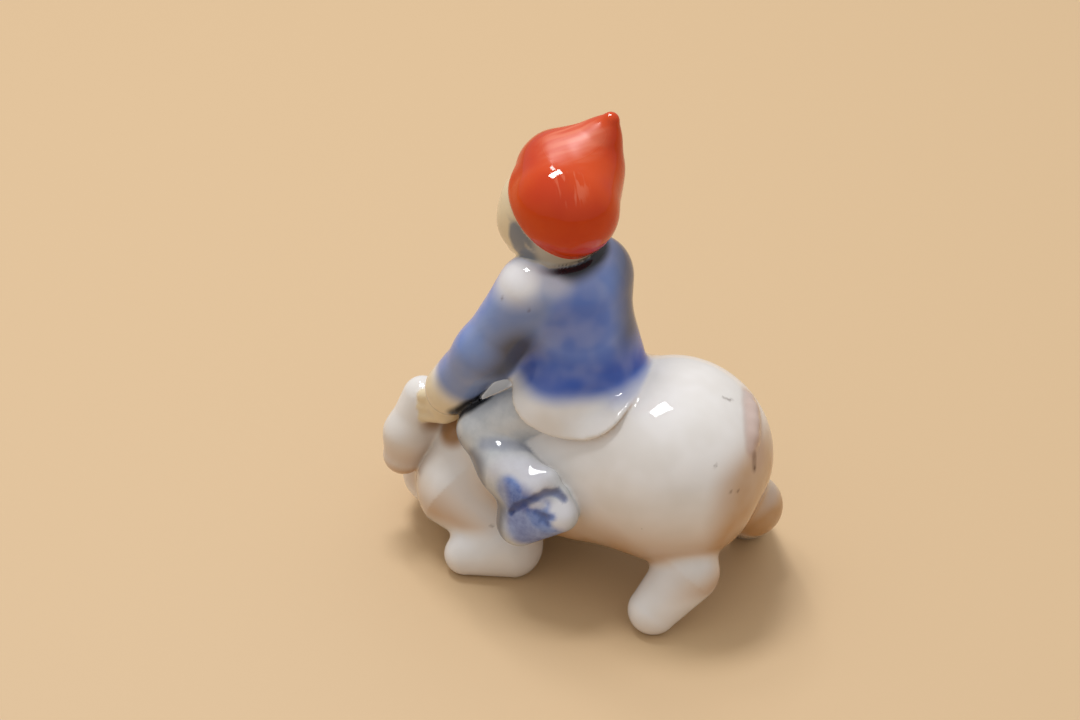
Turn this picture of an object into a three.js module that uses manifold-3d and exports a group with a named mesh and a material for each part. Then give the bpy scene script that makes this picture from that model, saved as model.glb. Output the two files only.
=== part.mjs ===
// An elf in a peaked cap riding a pig: a small glazed porcelain figurine, cast in one piece.
// Millimetres, +Z up. The pig faces -X, its left side faces -Y, and its feet stand on z = 0.
// The form is a distance field, joined from rounded lobes and limbs and carved by others. Its
// surface is meshed finely, thinned where it is nearly flat, and cut level under the feet.
import * as THREE from "three";
import Module from "manifold-3d";

// Driving dimensions
const LEFT = -1;
const RIGHT = 1;
const GLAZE = 0.35; // how softly the glaze rounds a crease
const RUMP = { x: 5.5, y: 1.0, z: 13.2, radius: 9.2 };
const BARREL = { x: -3.0, z: 11.8, length: 11, width: 9.0, height: 8.8 };
const CHEST = { x: -12.0, z: 9.4, radius: 7.4 };
const PIG_HEAD = { x: -16.8, y: -0.4, z: 5.8, radius: 5.3, turn: 0.5 };
const COAT = 0.85; // how far the coat's skirt stands off the pig
const THINS_OVER = 2.5; // the way in from its rear edge in which the skirt gains its thickness
const SEAT = { x: -3.9, z: 22.5 };
const SHOULDER = { x: -5.2, z: 30.5, radius: 2.4, half: 3.3, turn: 0.45 };
const HEAD = { x: -7.3, y: 0.4, z: 37.1, radius: 4.9, turn: 0.33 };
// The cap's stations of [x, y, z, radius], from the back of its bulb to its crown and then its tip
const BULB = [[-4.75, -0.25, 38.1, 4.25], [-5.8, -0.5, 38.5, 4.25], [-7.2, 2.75, 39.35, 4.2]];
const PEAK = [[-5.8, 3.75, 40.05, 3.8], [-4.6, 5.05, 42.9, 1.65], [-3.75, 5.5, 44.85, 0.7]];
const RIM = { at: [-6.87, 0.25, 36.9], faces: [-0.645, 0.019, -0.764] };
const SKULL = { at: [0, 0, 0.1], half: [4.9, 4.55, 4.4] }; // the elf's, from the middle of the head
const CAP_WALL = 0.25;
const NECK = { x: -6.1, lean: -0.8, foot: 31, top: 35, radius: 3.4 };
const TAIL = { y: -0.1, z: 17.1, across: 5.1, climb: 1.75, lift: -0.3, radius: 0.9, taper: 0.02 };
const SOLE_DEPTH = 4; // more than any foot reaches below the floor before it is cut level
const FLOOR_SIDE = 200;
const MESH_STEP = 0.45;
const TRIANGLES = 9000;
const PASSES = [6, 3, 1.5, 1]; // each pass of the thinning stops at this many times the last count
const HOLD = 1e-3; // how firmly a merged point is held to the middle of its edge
const EVENNESS = 1e-5; // how much more a long edge costs
const SLIVER = 0.04; // the least area of a triangle, against its longest side squared
const TURN = 0.5; // the least cosine between a triangle's old and new normals
const CLEAR = 0.05; // how near a crossing may come to the end of its edge

// Fields: each gives the distance from (x, y, z) to a form, negative inside it
function lobe([cx, cy, cz], [rx, ry, rz]) {
  return (x, y, z) => {
    const u = (x - cx) / rx;
    const v = (y - cy) / ry;
    const w = (z - cz) / rz;
    const k = Math.sqrt(u * u + v * v + w * w);
    const slope = Math.sqrt((u / rx) ** 2 + (v / ry) ** 2 + (w / rz) ** 2);
    return slope < 1e-9 ? -Math.min(rx, ry, rz) : (k * (k - 1)) / slope;
  };
}

// A limb through stations of [x, y, z, radius]
function limb(softness, ...stations) {
  const bones = stations.slice(1).map(([x, y, z, r], i) => {
    const [ax, ay, az, ar] = stations[i];
    const d = [x - ax, y - ay, z - az];
    const square = d[0] ** 2 + d[1] ** 2 + d[2] ** 2;
    return (px, py, pz) => {
      const qx = px - ax;
      const qy = py - ay;
      const qz = pz - az;
      const along = (qx * d[0] + qy * d[1] + qz * d[2]) / square;
      const t = Math.min(1, Math.max(0, along));
      const ex = qx - d[0] * t;
      const ey = qy - d[1] * t;
      const ez = qz - d[2] * t;
      return Math.sqrt(ex * ex + ey * ey + ez * ez) - ar - (r - ar) * t;
    };
  });
  return join(softness, ...bones);
}

// The half of space behind a plane whose normal points out of it
function behind([px, py, pz], normal) {
  const n = new THREE.Vector3(...normal).normalize();
  return (x, y, z) => (x - px) * n.x + (y - py) * n.y + (z - pz) * n.z;
}

// A form made about its own origin, facing -X, then turned to the right and set at a place
function placed(field, { x: cx, y: cy, z: cz, turn }) {
  const c = Math.cos(turn);
  const s = Math.sin(turn);
  return (x, y, z) => field((x - cx) * c - (y - cy) * s, (x - cx) * s + (y - cy) * c, z - cz);
}

function soft(a, b, softness) {
  const h = Math.max(0, softness - Math.abs(a - b));
  return Math.min(a, b) - (h * h) / (4 * softness);
}

function join(softness, ...fields) {
  return (x, y, z) => {
    let d = fields[0](x, y, z);
    for (let i = 1; i < fields.length; i++) d = soft(d, fields[i](x, y, z), softness);
    return d;
  };
}

const inside = (softness, a, b) => (x, y, z) => -soft(-a(x, y, z), -b(x, y, z), softness);
const carve = (softness, a, b) => (x, y, z) => -soft(-a(x, y, z), b(x, y, z), softness);
const pair = (softness, make) => join(softness, make(LEFT), make(RIGHT));

// The pig
function pigBody() {
  const { x, y, z, radius } = RUMP;
  const nearSide = lobe([x + 0.5, y - 2.4, z + 0.1], [radius, radius * 0.88, radius]);
  const farSide = lobe([x - 0.1, y + 2.5, z - 0.1], [radius * 0.97, radius * 0.74, radius * 0.96]);
  const barrel = lobe([BARREL.x, 0, BARREL.z], [BARREL.length, BARREL.width, BARREL.height]);
  const chest = lobe([CHEST.x, 0, CHEST.z], [CHEST.radius * 0.95, CHEST.radius, CHEST.radius]);
  return join(2.5, join(2.5, nearSide, farSide), barrel, chest);
}

function pigHead() {
  const { radius: r } = PIG_HEAD;
  const skull = lobe([0, 0, 0], [r, r * 0.96, r * 0.94]);
  const cheek = (side) => lobe([-1.6, side * 2.8, -1.5], [2.7, 2.4, 2.6]);
  const snout = limb(1, [-2.4, 0, -0.6, 3.3], [-5.0, 0, -1.4, 2.2]);
  const disc = lobe([-5.9, 0, -1.5], [0.8, 2.3, 2.0]);
  const nostril = (side) => lobe([-6.7, side * 0.85, -1.3], [0.6, 0.4, 0.6]);
  const mouth = (side) => limb(0.3, [-5.3, side * 0.6, -3.6, 0.3], [-3.2, side * 2.6, -3.0, 0.3]);
  const eye = (side) => lobe([-3.4, side * 3.0, 1.7], [0.8, 0.7, 0.6]);
  const face = join(0.4, join(1.6, skull, pair(1, cheek), snout), disc, pair(0.3, eye));
  return carve(0.3, carve(0.3, face, pair(0.2, nostril)), pair(0.3, mouth));
}

// A lop ear, pulled up by the root and hanging over. The right one lies further forward.
function pigEar(side) {
  const [fore, out] = side === LEFT ? [-0.3, 0] : [-2.0, 0.9];
  const root = limb(1, [0.4, side * 2.4, 3.4, 2.2], [0.5 + fore, side * (3.8 + out), 8.4, 1.8]);
  const top = [0.5 + fore, side * (4.3 + out), 9.6, 2.0];
  const middle = [fore, side * (5.8 + out), 5.6, 2.2];
  const tip = [fore - 0.3, side * (6.2 + out), 3.0, 2.0];
  return join(0.8, root, limb(1, top, middle, tip));
}

function foreleg(side) {
  const shoulder = limb(1.5, [-13.6, side * 4.0, 6.4, 5.4], [-8.4, side * 5.9, 3.4, 3.0]);
  const foot = limb(1, [-7.8, side * 6.5, 2.4, 2.9], [-11.7, side * 8.7, 1.8, 2.1]);
  return join(1.2, shoulder, foot);
}

function hindLeg(side) {
  const back = side === LEFT ? 0 : 1.8; // the right hind foot stands further back and out
  const hip = [10.3 + back * 0.95, side * 5.3, 5.4 + back * 0.75, 3.1];
  const foot = [8.2 + back, side * (8.1 + back * 0.75), 2.0, 2.4];
  return limb(1, hip, foot);
}

// A short tail lying down the cleft of the rump, with one slight wave
function pigTail() {
  const stations = [0, 1, 2, 3, 4].map((i) => {
    const y = TAIL.y + (TAIL.across * i) / 4;
    const z = TAIL.z + TAIL.climb * Math.sin((Math.PI / 8) * i);
    const square = (RUMP.radius + TAIL.lift) ** 2 - (y - RUMP.y) ** 2 - (z - RUMP.z) ** 2;
    return [RUMP.x + Math.sqrt(square), y, z, TAIL.radius - TAIL.taper * i];
  });
  return limb(0.8, ...stations);
}

// The elf
// The coat's body, shoulders and skirt. The skirt is a layer over what lies under it, with one
// flap down each side and a short back, and it thins out to nothing at the rear.
function coat(under) {
  const torso = limb(2.5, [SEAT.x, 0, SEAT.z, 6.0], [SEAT.x - 0.9, 0.2, 28.8, 5.0]);
  const { x, z, radius, half, turn } = SHOULDER;
  const [fore, out] = [Math.sin(turn) * half, Math.cos(turn) * half];
  const shoulders = limb(1, [x - fore, -out, z, radius], [x + fore, out, z - 0.4, radius]);
  const flap = (side) => lobe([-1.9, side * 6.5, 24.0], [6.1, 7.0, 5.95]);
  const back = lobe([-2.0, 0, 23.6], [6.4, 7.0, 5.6]);
  const rear = behind([3.9, 0, 21], [0.66, 0.33, 0.62]);
  const cloth = (px, py, pz) => {
    const share = Math.min(1, Math.max(0, -rear(px, py, pz) / THINS_OVER));
    return under(px, py, pz) - COAT * share;
  };
  const skirt = inside(0.6, cloth, inside(1, join(2, pair(2, flap), back), rear));
  return join(2.0, join(3.5, torso, shoulders), skirt);
}

function arm(side) {
  const [shoulder, elbow, wrist] = side === LEFT
    ? [[-7.1, -4.1, 30.9, 3.0], [-10.8, -6.2, 24.2, 2.6], [-14.5, -5.8, 18.6, 2.6]]
    : [[-4.2, 3.6, 29.6, 2.8], [-8.2, 6.7, 24.2, 2.6], [-11.4, 6.2, 18.8, 2.5]];
  return limb(1.2, shoulder, elbow, wrist);
}

function hand(side) {
  const palm = side === LEFT ? [-15.5, -5.4, 16.4] : [-12.4, 5.8, 16.4];
  const ear = side === LEFT ? [-17.6, -4.8, 15.6] : [-15.4, 5.6, 15.6];
  const fingers = [-1.1, 0, 1.1].map((up) => {
    const knuckle = [palm[0], palm[1] + side * 0.5, palm[2] + up, 0.9];
    return limb(0.3, knuckle, [ear[0], ear[1] + side, ear[2] + up, 0.7]);
  });
  return join(0.3, lobe(palm, [1.9, 1.7, 2.1]), ...fingers);
}

function leg(side) {
  const knee = [-10.3, side * 7.1, 16.1, 2.6];
  const thigh = limb(1, [-4.5, side * 4.5, 19.8, 2.8], knee);
  const shin = limb(1, knee, [-4.55, side * 9.2, 11.5, 2.6]);
  const calf = limb(1, [-7.05, side * 9.05, 14.2, 2.4], [-3.5, side * 10.1, 13.75, 1.9]);
  const foldEnd = [-1.15, side * 9.8, 13.5, 0.9];
  const fold = limb(1, [-4.9, side * 9.1, 15.25, 0.9], [-2.3, side * 9.7, 14.65, 0.9], foldEnd);
  const shoe = limb(0.8, [-0.7, side * 10.0, 11.4, 1.75], [-5.0, side * 9.95, 8.85, 2.25]);
  return join(0.4, thigh, join(1.6, shin, join(0.5, calf, fold), shoe));
}

function head() {
  const { radius: r } = HEAD;
  const skull = lobe(SKULL.at, SKULL.half);
  const cheek = (side) => lobe([-1.7, side * 1.9, -1.4], [2.2, 2.1, 2.3]);
  const chin = lobe([-2.9, 0, -4.1], [2.0, 2.4, 1.9]);
  const jaw = lobe([0.5, 0, -1.5], [r * 0.9, r * 0.86, r * 0.9]);
  const nose = lobe([-4.9, 0, -0.5], [0.9, 0.8, 0.8]);
  const mouth = limb(0.3, [-4.6, -1.2, -2.2, 0.25], [-4.9, 0, -2.6, 0.25], [-4.6, 1.2, -2.2, 0.25]);
  const socket = (side) => lobe([-5.4, side * 1.7, 0.8], [0.9, 0.9, 0.7]);
  const face = join(0.6, join(1.2, skull, jaw, pair(1, cheek), chin), nose);
  return carve(0.4, carve(0.8, face, pair(0.3, socket)), mouth);
}

function cap() {
  const cone = limb(1.5, ...BULB, ...PEAK);
  const back = limb(1, BULB[0], PEAK[0]);
  const crown = placed(lobe(SKULL.at, SKULL.half.map((half) => half + CAP_WALL)), HEAD);
  return inside(0.4, join(0.5, cone, back, crown), behind(RIM.at, RIM.faces));
}

const pig = join(1.2, pigBody(), placed(pigHead(), PIG_HEAD), pair(1, foreleg), pair(1, hindLeg));
const ears = placed(pair(GLAZE, pigEar), PIG_HEAD);
const nape = [NECK.x + NECK.lean, 0, NECK.top, NECK.radius];
const neck = limb(1, [NECK.x, 0, NECK.foot, NECK.radius], nape);
const headAndCap = join(GLAZE, placed(head(), HEAD), cap());
const limbs = join(GLAZE, pair(GLAZE, hand), pair(GLAZE, leg));
const seat = join(2.5, pig, pair(1, leg));
const dress = join(2, coat(seat), pair(GLAZE, arm));
const figure = join(GLAZE, pig, ears, pigTail(), dress, neck, headAndCap, limbs);

const LOW = [-30, -16, -SOLE_DEPTH];
const HIGH = [20, 16, 54];

// Meshing by tetrahedra: a cube of the lattice splits into six that share its diagonal, so the
// surface always closes. Corner k of a cube stands at the bits of k.
const TETRAHEDRA = [
  [0, 1, 3, 7],
  [0, 3, 2, 7],
  [0, 2, 6, 7],
  [0, 6, 4, 7],
  [0, 4, 5, 7],
  [0, 5, 1, 7],
];

function surfaceOf(field, low, high, step) {
  const n = low.map((v, i) => Math.ceil((high[i] - v) / step) + 1);
  const index = (i, j, k) => i + n[0] * (j + n[1] * k);
  const values = new Float32Array(n[0] * n[1] * n[2]);
  for (let k = 0; k < n[2]; k++)
    for (let j = 0; j < n[1]; j++)
      for (let i = 0; i < n[0]; i++)
        values[index(i, j, k)] = field(low[0] + i * step, low[1] + j * step, low[2] + k * step);
  const placeOf = (node) => {
    const i = node % n[0];
    const j = Math.floor(node / n[0]) % n[1];
    const k = Math.floor(node / (n[0] * n[1]));
    return [low[0] + i * step, low[1] + j * step, low[2] + k * step];
  };
  const points = [];
  const known = new Map();
  const crossing = (a, b) => {
    const key = Math.min(a, b) * values.length + Math.max(a, b);
    if (!known.has(key)) {
      const [p, q] = [placeOf(a), placeOf(b)];
      const t = Math.min(1 - CLEAR, Math.max(CLEAR, values[a] / (values[a] - values[b])));
      known.set(key, points.length);
      points.push(p.map((v, c) => v + (q[c] - v) * t));
    }
    return known.get(key);
  };
  const faces = [];
  for (let k = 0; k + 1 < n[2]; k++)
    for (let j = 0; j + 1 < n[1]; j++)
      for (let i = 0; i + 1 < n[0]; i++) {
        const corners = [];
        for (let c = 0; c < 8; c++) {
          corners.push(index(i + (c & 1), j + ((c >> 1) & 1), k + (c >> 2)));
        }
        const full = corners.filter((c) => values[c] < 0).length;
        if (full === 0 || full === 8) continue;
        for (const four of TETRAHEDRA) {
          const tetrahedron = four.map((c) => corners[c]);
          cutTetrahedron(tetrahedron, values, crossing, faces);
        }
      }
  return { points, faces };
}

// The one or two triangles that cut a tetrahedron, wound to face out
function cutTetrahedron(four, values, crossing, faces) {
  const full = four.map((c) => values[c] < 0);
  const count = full.filter(Boolean).length;
  if (count === 0 || count === 4) return;
  const lone = count === 2 ? null : full.indexOf(count === 1);
  if (lone !== null) {
    const others = [0, 1, 2, 3].filter((c) => c !== lone);
    const [a, b, c] = others.map((o) => crossing(four[lone], four[o]));
    const even = (lone % 2 === 0) === full[lone];
    faces.push(even ? [a, b, c] : [a, c, b]);
    return;
  }
  const [p, q] = [0, 1, 2, 3].filter((c) => full[c]);
  const [r, s] = [0, 1, 2, 3].filter((c) => !full[c]);
  const ring = [crossing(four[p], four[r]), crossing(four[q], four[r]), crossing(four[q], four[s])];
  ring.push(crossing(four[p], four[s]));
  if ((p + q) % 2 === 1) ring.reverse();
  faces.push([ring[0], ring[1], ring[2]], [ring[0], ring[2], ring[3]]);
}

// The shell with the most faces is the outside; a pocket closed off within it is filled
function outside({ points, faces }) {
  const root = points.map((_, v) => v);
  const find = (v) => {
    while (root[v] !== v) {
      root[v] = root[root[v]];
      v = root[v];
    }
    return v;
  };
  for (const [a, b, c] of faces) {
    root[find(b)] = find(a);
    root[find(c)] = find(a);
  }
  const sizes = new Map();
  for (const [a] of faces) sizes.set(find(a), (sizes.get(find(a)) ?? 0) + 1);
  const largest = [...sizes].sort((p, q) => q[1] - p[1])[0][0];
  return { points, faces: faces.filter(([a]) => find(a) === largest) };
}

// Thinning: the edge whose closing strays least from the planes around it goes first
function thin({ points, faces }, target) {
  const quadrics = points.map(() => new Float64Array(10));
  const facesAt = points.map(() => new Set());
  const stamps = new Uint32Array(points.length);
  faces.forEach((face, f) => {
    const { normal, area } = planeOf(...face.map((v) => points[v]));
    const [x, y, z] = points[face[0]];
    const p = [...normal, -(normal[0] * x + normal[1] * y + normal[2] * z)];
    for (const v of face) {
      facesAt[v].add(f);
      let slot = 0;
      for (let i = 0; i < 4; i++)
        for (let j = i; j < 4; j++) {
          quadrics[v][slot] += p[i] * p[j] * area;
          slot++;
        }
    }
  });
  const around = (v) => {
    const ring = new Set();
    for (const f of facesAt[v]) for (const other of faces[f]) if (other !== v) ring.add(other);
    return ring;
  };
  const heap = [];
  const offer = (a, b) => {
    const { place, cost } = bestPlace(quadrics[a], quadrics[b], points[a], points[b]);
    pushHeap(heap, { cost, a, b, place, stamp: stamps[a] + stamps[b] });
  };
  points.forEach((_, v) => around(v).forEach((other) => v < other && offer(v, other)));
  let left = faces.length;
  while (left > target && heap.length) {
    const { a, b, place, stamp } = popHeap(heap);
    if (!facesAt[a].size || !facesAt[b].size || stamp !== stamps[a] + stamps[b]) continue;
    const ringA = around(a);
    const shared = [...around(b)].filter((v) => ringA.has(v));
    if (shared.length !== 2 || turnsOver(a, b, place, points, faces, facesAt)) continue;
    points[a] = place;
    for (let i = 0; i < 10; i++) quadrics[a][i] += quadrics[b][i];
    for (const f of [...facesAt[b]]) {
      if (faces[f].includes(a)) {
        for (const v of faces[f]) facesAt[v].delete(f);
        left--;
      } else {
        faces[f] = faces[f].map((v) => (v === b ? a : v));
        facesAt[a].add(f);
      }
    }
    facesAt[b].clear();
    stamps[a] += points.length;
    around(a).forEach((v) => offer(a, v));
  }
  const names = new Map();
  const kept = [];
  const nameOf = (v) => {
    if (!names.has(v)) {
      names.set(v, kept.length);
      kept.push(points[v]);
    }
    return names.get(v);
  };
  const live = faces.filter((face, f) => facesAt[face[0]].has(f)).map((face) => face.map(nameOf));
  return { points: kept, faces: live };
}

function planeOf(p, q, r) {
  const u = [q[0] - p[0], q[1] - p[1], q[2] - p[2]];
  const v = [r[0] - p[0], r[1] - p[1], r[2] - p[2]];
  const n = [u[1] * v[2] - u[2] * v[1], u[2] * v[0] - u[0] * v[2], u[0] * v[1] - u[1] * v[0]];
  const size = Math.hypot(...n) || 1e-12;
  return { normal: n.map((c) => c / size), area: size / 2 };
}

// Where the merged point strays least from the planes, held lightly to the middle of the edge
function bestPlace(qa, qb, a, b) {
  const q = qa.map((v, i) => v + qb[i]);
  const middle = a.map((v, i) => (v + b[i]) / 2);
  const hold = HOLD * (q[0] + q[4] + q[7]) + 1e-9;
  const matrix = new THREE.Matrix3();
  matrix.set(q[0] + hold, q[1], q[2], q[1], q[4] + hold, q[5], q[2], q[5], q[7] + hold);
  const pull = new THREE.Vector3(...middle).multiplyScalar(hold);
  pull.sub(new THREE.Vector3(q[3], q[6], q[8]));
  const [x, y, z] = pull.applyMatrix3(matrix.invert()).toArray();
  const error = q[0] * x * x + q[4] * y * y + q[7] * z * z + q[9]
    + 2 * (q[1] * x * y + q[2] * x * z + q[3] * x + q[5] * y * z + q[6] * y + q[8] * z);
  const length = (a[0] - b[0]) ** 2 + (a[1] - b[1]) ** 2 + (a[2] - b[2]) ** 2;
  return { place: [x, y, z], cost: Math.max(0, error) + EVENNESS * length };
}

// Whether closing an edge would turn a triangle over or squeeze it to a sliver
function turnsOver(a, b, place, points, faces, facesAt) {
  for (const v of [a, b])
    for (const f of facesAt[v]) {
      if (faces[f].includes(a) && faces[f].includes(b)) continue;
      const old = faces[f].map((c) => points[c]);
      const fresh = faces[f].map((c) => (c === v ? place : points[c]));
      const was = planeOf(...old).normal;
      const { normal, area } = planeOf(...fresh);
      const corners = fresh.map((p) => new THREE.Vector3(...p));
      const longest = Math.max(...corners.map((p, i) => p.distanceTo(corners[(i + 1) % 3])));
      if (was[0] * normal[0] + was[1] * normal[1] + was[2] * normal[2] < TURN) return true;
      if (area < SLIVER * longest ** 2) return true;
    }
  return false;
}

function pushHeap(heap, item) {
  let i = heap.push(item) - 1;
  while (i > 0) {
    const up = (i - 1) >> 1;
    if (heap[up].cost <= item.cost) break;
    heap[i] = heap[up];
    i = up;
  }
  heap[i] = item;
}

function popHeap(heap) {
  const top = heap[0];
  const item = heap.pop();
  if (!heap.length) return top;
  let i = 0;
  for (;;) {
    let down = 2 * i + 1;
    if (down >= heap.length) break;
    if (down + 1 < heap.length && heap[down + 1].cost < heap[down].cost) down++;
    if (heap[down].cost >= item.cost) break;
    heap[i] = heap[down];
    i = down;
  }
  heap[i] = item;
  return top;
}

// Solids
const wasm = await Module();
wasm.setup();

function solidOf(points, faces) {
  const vertProperties = new Float32Array(points.flat());
  const triVerts = new Uint32Array(faces.flat());
  return new wasm.Manifold(new wasm.Mesh({ numProp: 3, vertProperties, triVerts }));
}

// Everything below the floor goes, which leaves the flat soles
function cutLevel(solid) {
  const box = new THREE.BoxGeometry(FLOOR_SIDE, FLOOR_SIDE, 2 * SOLE_DEPTH);
  box.translate(0, 0, -SOLE_DEPTH);
  const corners = [];
  const known = new Map();
  const place = box.getAttribute("position");
  const names = Array.from({ length: place.count }, (_, i) => {
    const corner = [place.getX(i), place.getY(i), place.getZ(i)];
    const key = corner.join();
    if (!known.has(key)) known.set(key, corners.push(corner) - 1);
    return known.get(key);
  });
  const order = [...box.getIndex().array].map((i) => names[i]);
  const faces = Array.from({ length: order.length / 3 }, (_, i) => order.slice(3 * i, 3 * i + 3));
  return solid.subtract(solidOf(corners, faces));
}

let surface = outside(surfaceOf(figure, LOW, HIGH, MESH_STEP));
for (const times of PASSES) surface = thin(surface, times * TRIANGLES);
const cut = cutLevel(solidOf(surface.points, surface.faces)).getMesh();

const geometry = new THREE.BufferGeometry();
geometry.setAttribute("position", new THREE.BufferAttribute(new Float32Array(cut.vertProperties), 3));
geometry.setIndex([...cut.triVerts]);

const porcelain = new THREE.MeshStandardMaterial({ color: 0xe8e4e0, roughness: 0.15, metalness: 0 });
const figurine = new THREE.Mesh(geometry, porcelain);
figurine.name = "elf_on_pig";
geometry.computeBoundingBox();
const middle = geometry.boundingBox.getCenter(new THREE.Vector3());
figurine.position.set(-middle.x, -middle.y, 0);
const group = new THREE.Group();
group.add(figurine);

export default group;
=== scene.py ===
import math

import bpy
import numpy as np
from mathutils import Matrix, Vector


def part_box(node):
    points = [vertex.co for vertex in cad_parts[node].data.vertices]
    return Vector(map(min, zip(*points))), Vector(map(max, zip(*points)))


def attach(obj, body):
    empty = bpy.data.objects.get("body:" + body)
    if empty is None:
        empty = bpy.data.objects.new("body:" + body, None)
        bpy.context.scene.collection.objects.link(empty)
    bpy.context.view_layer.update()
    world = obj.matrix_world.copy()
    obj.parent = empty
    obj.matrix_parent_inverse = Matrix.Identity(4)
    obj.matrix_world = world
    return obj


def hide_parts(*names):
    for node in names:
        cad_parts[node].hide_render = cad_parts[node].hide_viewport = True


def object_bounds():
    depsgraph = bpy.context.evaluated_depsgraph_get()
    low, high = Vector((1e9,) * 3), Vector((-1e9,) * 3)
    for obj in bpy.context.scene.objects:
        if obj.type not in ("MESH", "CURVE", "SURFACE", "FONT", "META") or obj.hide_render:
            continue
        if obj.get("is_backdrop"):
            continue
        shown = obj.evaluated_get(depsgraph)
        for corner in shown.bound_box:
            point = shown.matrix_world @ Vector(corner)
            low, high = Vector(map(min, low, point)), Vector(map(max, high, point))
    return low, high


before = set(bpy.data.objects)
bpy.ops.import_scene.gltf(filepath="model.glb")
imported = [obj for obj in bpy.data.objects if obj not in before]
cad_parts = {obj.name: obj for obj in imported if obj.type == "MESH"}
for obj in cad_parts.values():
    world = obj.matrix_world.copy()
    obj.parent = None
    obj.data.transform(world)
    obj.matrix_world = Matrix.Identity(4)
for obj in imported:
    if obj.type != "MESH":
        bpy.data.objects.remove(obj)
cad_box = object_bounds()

MM = 0.001
LEFT = -1
RIGHT = 1
TINY = 1e-9

# Driving dimensions, the same as the solid's. GLAZE is how softly the glaze fills the creases
GLAZE = 0.35
RUMP = {"x": 5.5, "y": 1.0, "z": 13.2, "radius": 9.2}
BARREL = {"x": -3.0, "z": 11.8, "length": 11, "width": 9.0, "height": 8.8}
CHEST = {"x": -12.0, "z": 9.4, "radius": 7.4}
PIG_HEAD = {"x": -16.8, "y": -0.4, "z": 5.8, "radius": 5.3, "turn": 0.5}
COAT_THICK = 0.85
COAT_THINS_OVER = 2.5
SEAT = {"x": -3.9, "z": 22.5}
SHOULDER = {"x": -5.2, "z": 30.5, "radius": 2.4, "half": 3.3, "turn": 0.45}
HEAD = {"x": -7.3, "y": 0.4, "z": 37.1, "radius": 4.9, "turn": 0.33}
BULB = ((-4.75, -0.25, 38.1, 4.25), (-5.8, -0.5, 38.5, 4.25), (-7.2, 2.75, 39.35, 4.2))
PEAK = ((-5.8, 3.75, 40.05, 3.8), (-4.6, 5.05, 42.9, 1.65), (-3.75, 5.5, 44.85, 0.7))
RIM = {"at": (-6.87, 0.25, 36.9), "faces": (-0.645, 0.019, -0.764)}
SKULL = ((0.0, 0, 0.1), (4.9, 4.55, 4.4))
CAP_WALL = 0.25
NECK = {"x": -6.1, "lean": -0.8, "foot": 31, "top": 35, "radius": 3.4}
TAIL = {"y": -0.1, "z": 17.1, "across": 5.1, "climb": 1.75, "lift": -0.3, "radius": 0.9, "taper": 0.02}
TAIL_STATIONS = 5

# The mesh's lattice: a coarse cell is COARSE fine steps wide, and is filled in within REACH of the surface
LOW = (-26.0, -14.0, -1.0)
HIGH = (18.0, 15.0, 52.0)
FINE = 0.25
COARSE = 4
REACH = 1.0
CORNERS = [(c & 1, (c >> 1) & 1, c >> 2) for c in range(8)]

# How the mesh's points settle on to the surface
SETTLE = {"rounds": 3, "stride": 0.5, "least_slope": 0.05}
SLOPE_STEP = 0.02

# The camera stands where the photograph's did, with its focal length in the photograph's pixels
FOCAL_PX = 2757
FRAME_PX = 1080
SENSOR = 36
CLIP_START = 0.01
CAMERA = {"azimuth": 28, "elevation": 34, "distance": 262, "target": (-8.173, 0.0, 20.361)}

# Two windows, with a third that adds only to the upper one's reflection, and a sky paler above
SKY = {"low": 0.37, "high": 0.8, "starts": -0.1, "ends": 1.0}
WINDOW_TINT = (0.97, 0.985, 1.0)
WINDOWS = {
    "window_above": {"turn": (-119, 74), "away": 0.5, "size": (0.20, 0.11), "watts": 1.2, "lights": True},
    "window_beside": {"turn": (-129, 58), "away": 0.5, "size": (0.04, 0.10), "watts": 0.25, "lights": True},
    "window_shine": {"turn": (-119, 74), "away": 0.51, "size": (0.20, 0.11), "watts": 1.6, "lights": False},
}
FLOOR_HALF = 3.0
FLOOR_ROUGHNESS = 0.6


# Fields: each gives the distance from the point x, y, z to a form, negative inside it
def lobe(centre, radii):
    cx, cy, cz = centre
    rx, ry, rz = radii

    def field(x, y, z):
        u = (x - cx) / rx
        v = (y - cy) / ry
        w = (z - cz) / rz
        k = np.sqrt(u * u + v * v + w * w)
        slope = np.sqrt((u / rx) ** 2 + (v / ry) ** 2 + (w / rz) ** 2)
        return k * (k - 1) / np.maximum(slope, TINY)

    return field


def bone(a, b):
    ax, ay, az, ar = a
    dx, dy, dz, dr = (q - p for p, q in zip(a, b))
    square = dx * dx + dy * dy + dz * dz

    def field(x, y, z):
        qx, qy, qz = x - ax, y - ay, z - az
        t = np.clip((qx * dx + qy * dy + qz * dz) / square, 0, 1)
        ex, ey, ez = qx - dx * t, qy - dy * t, qz - dz * t
        return np.sqrt(ex * ex + ey * ey + ez * ez) - ar - dr * t

    return field


def limb(softness, *stations):
    return join(softness, *[bone(a, b) for a, b in zip(stations, stations[1:])])


def thread(places, radius):
    return [(*place, radius) for place in places]


def behind(point, normal):
    px, py, pz = point
    nx, ny, nz = np.array(normal) / np.linalg.norm(normal)
    return lambda x, y, z: (x - px) * nx + (y - py) * ny + (z - pz) * nz


def placed(field, at):
    c, s = math.cos(at["turn"]), math.sin(at["turn"])

    def moved(x, y, z):
        u, v = x - at["x"], y - at["y"]
        return field(u * c - v * s, u * s + v * c, z - at["z"])

    return moved


def mirrored(field):
    return lambda x, y, z: field(x, -np.abs(y), z)


# Softness is how alike two distances are, in millimetres, when their forms start to blend
def soft(a, b, softness):
    h = np.maximum(0, softness - np.abs(a - b))
    return np.minimum(a, b) - h * h / (4 * softness)


def join(softness, *fields):
    def field(x, y, z):
        d = fields[0](x, y, z)
        for other in fields[1:]:
            d = soft(d, other(x, y, z), softness)
        return d

    return field


def inside(softness, a, b):
    return lambda x, y, z: -soft(-a(x, y, z), -b(x, y, z), softness)


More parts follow.
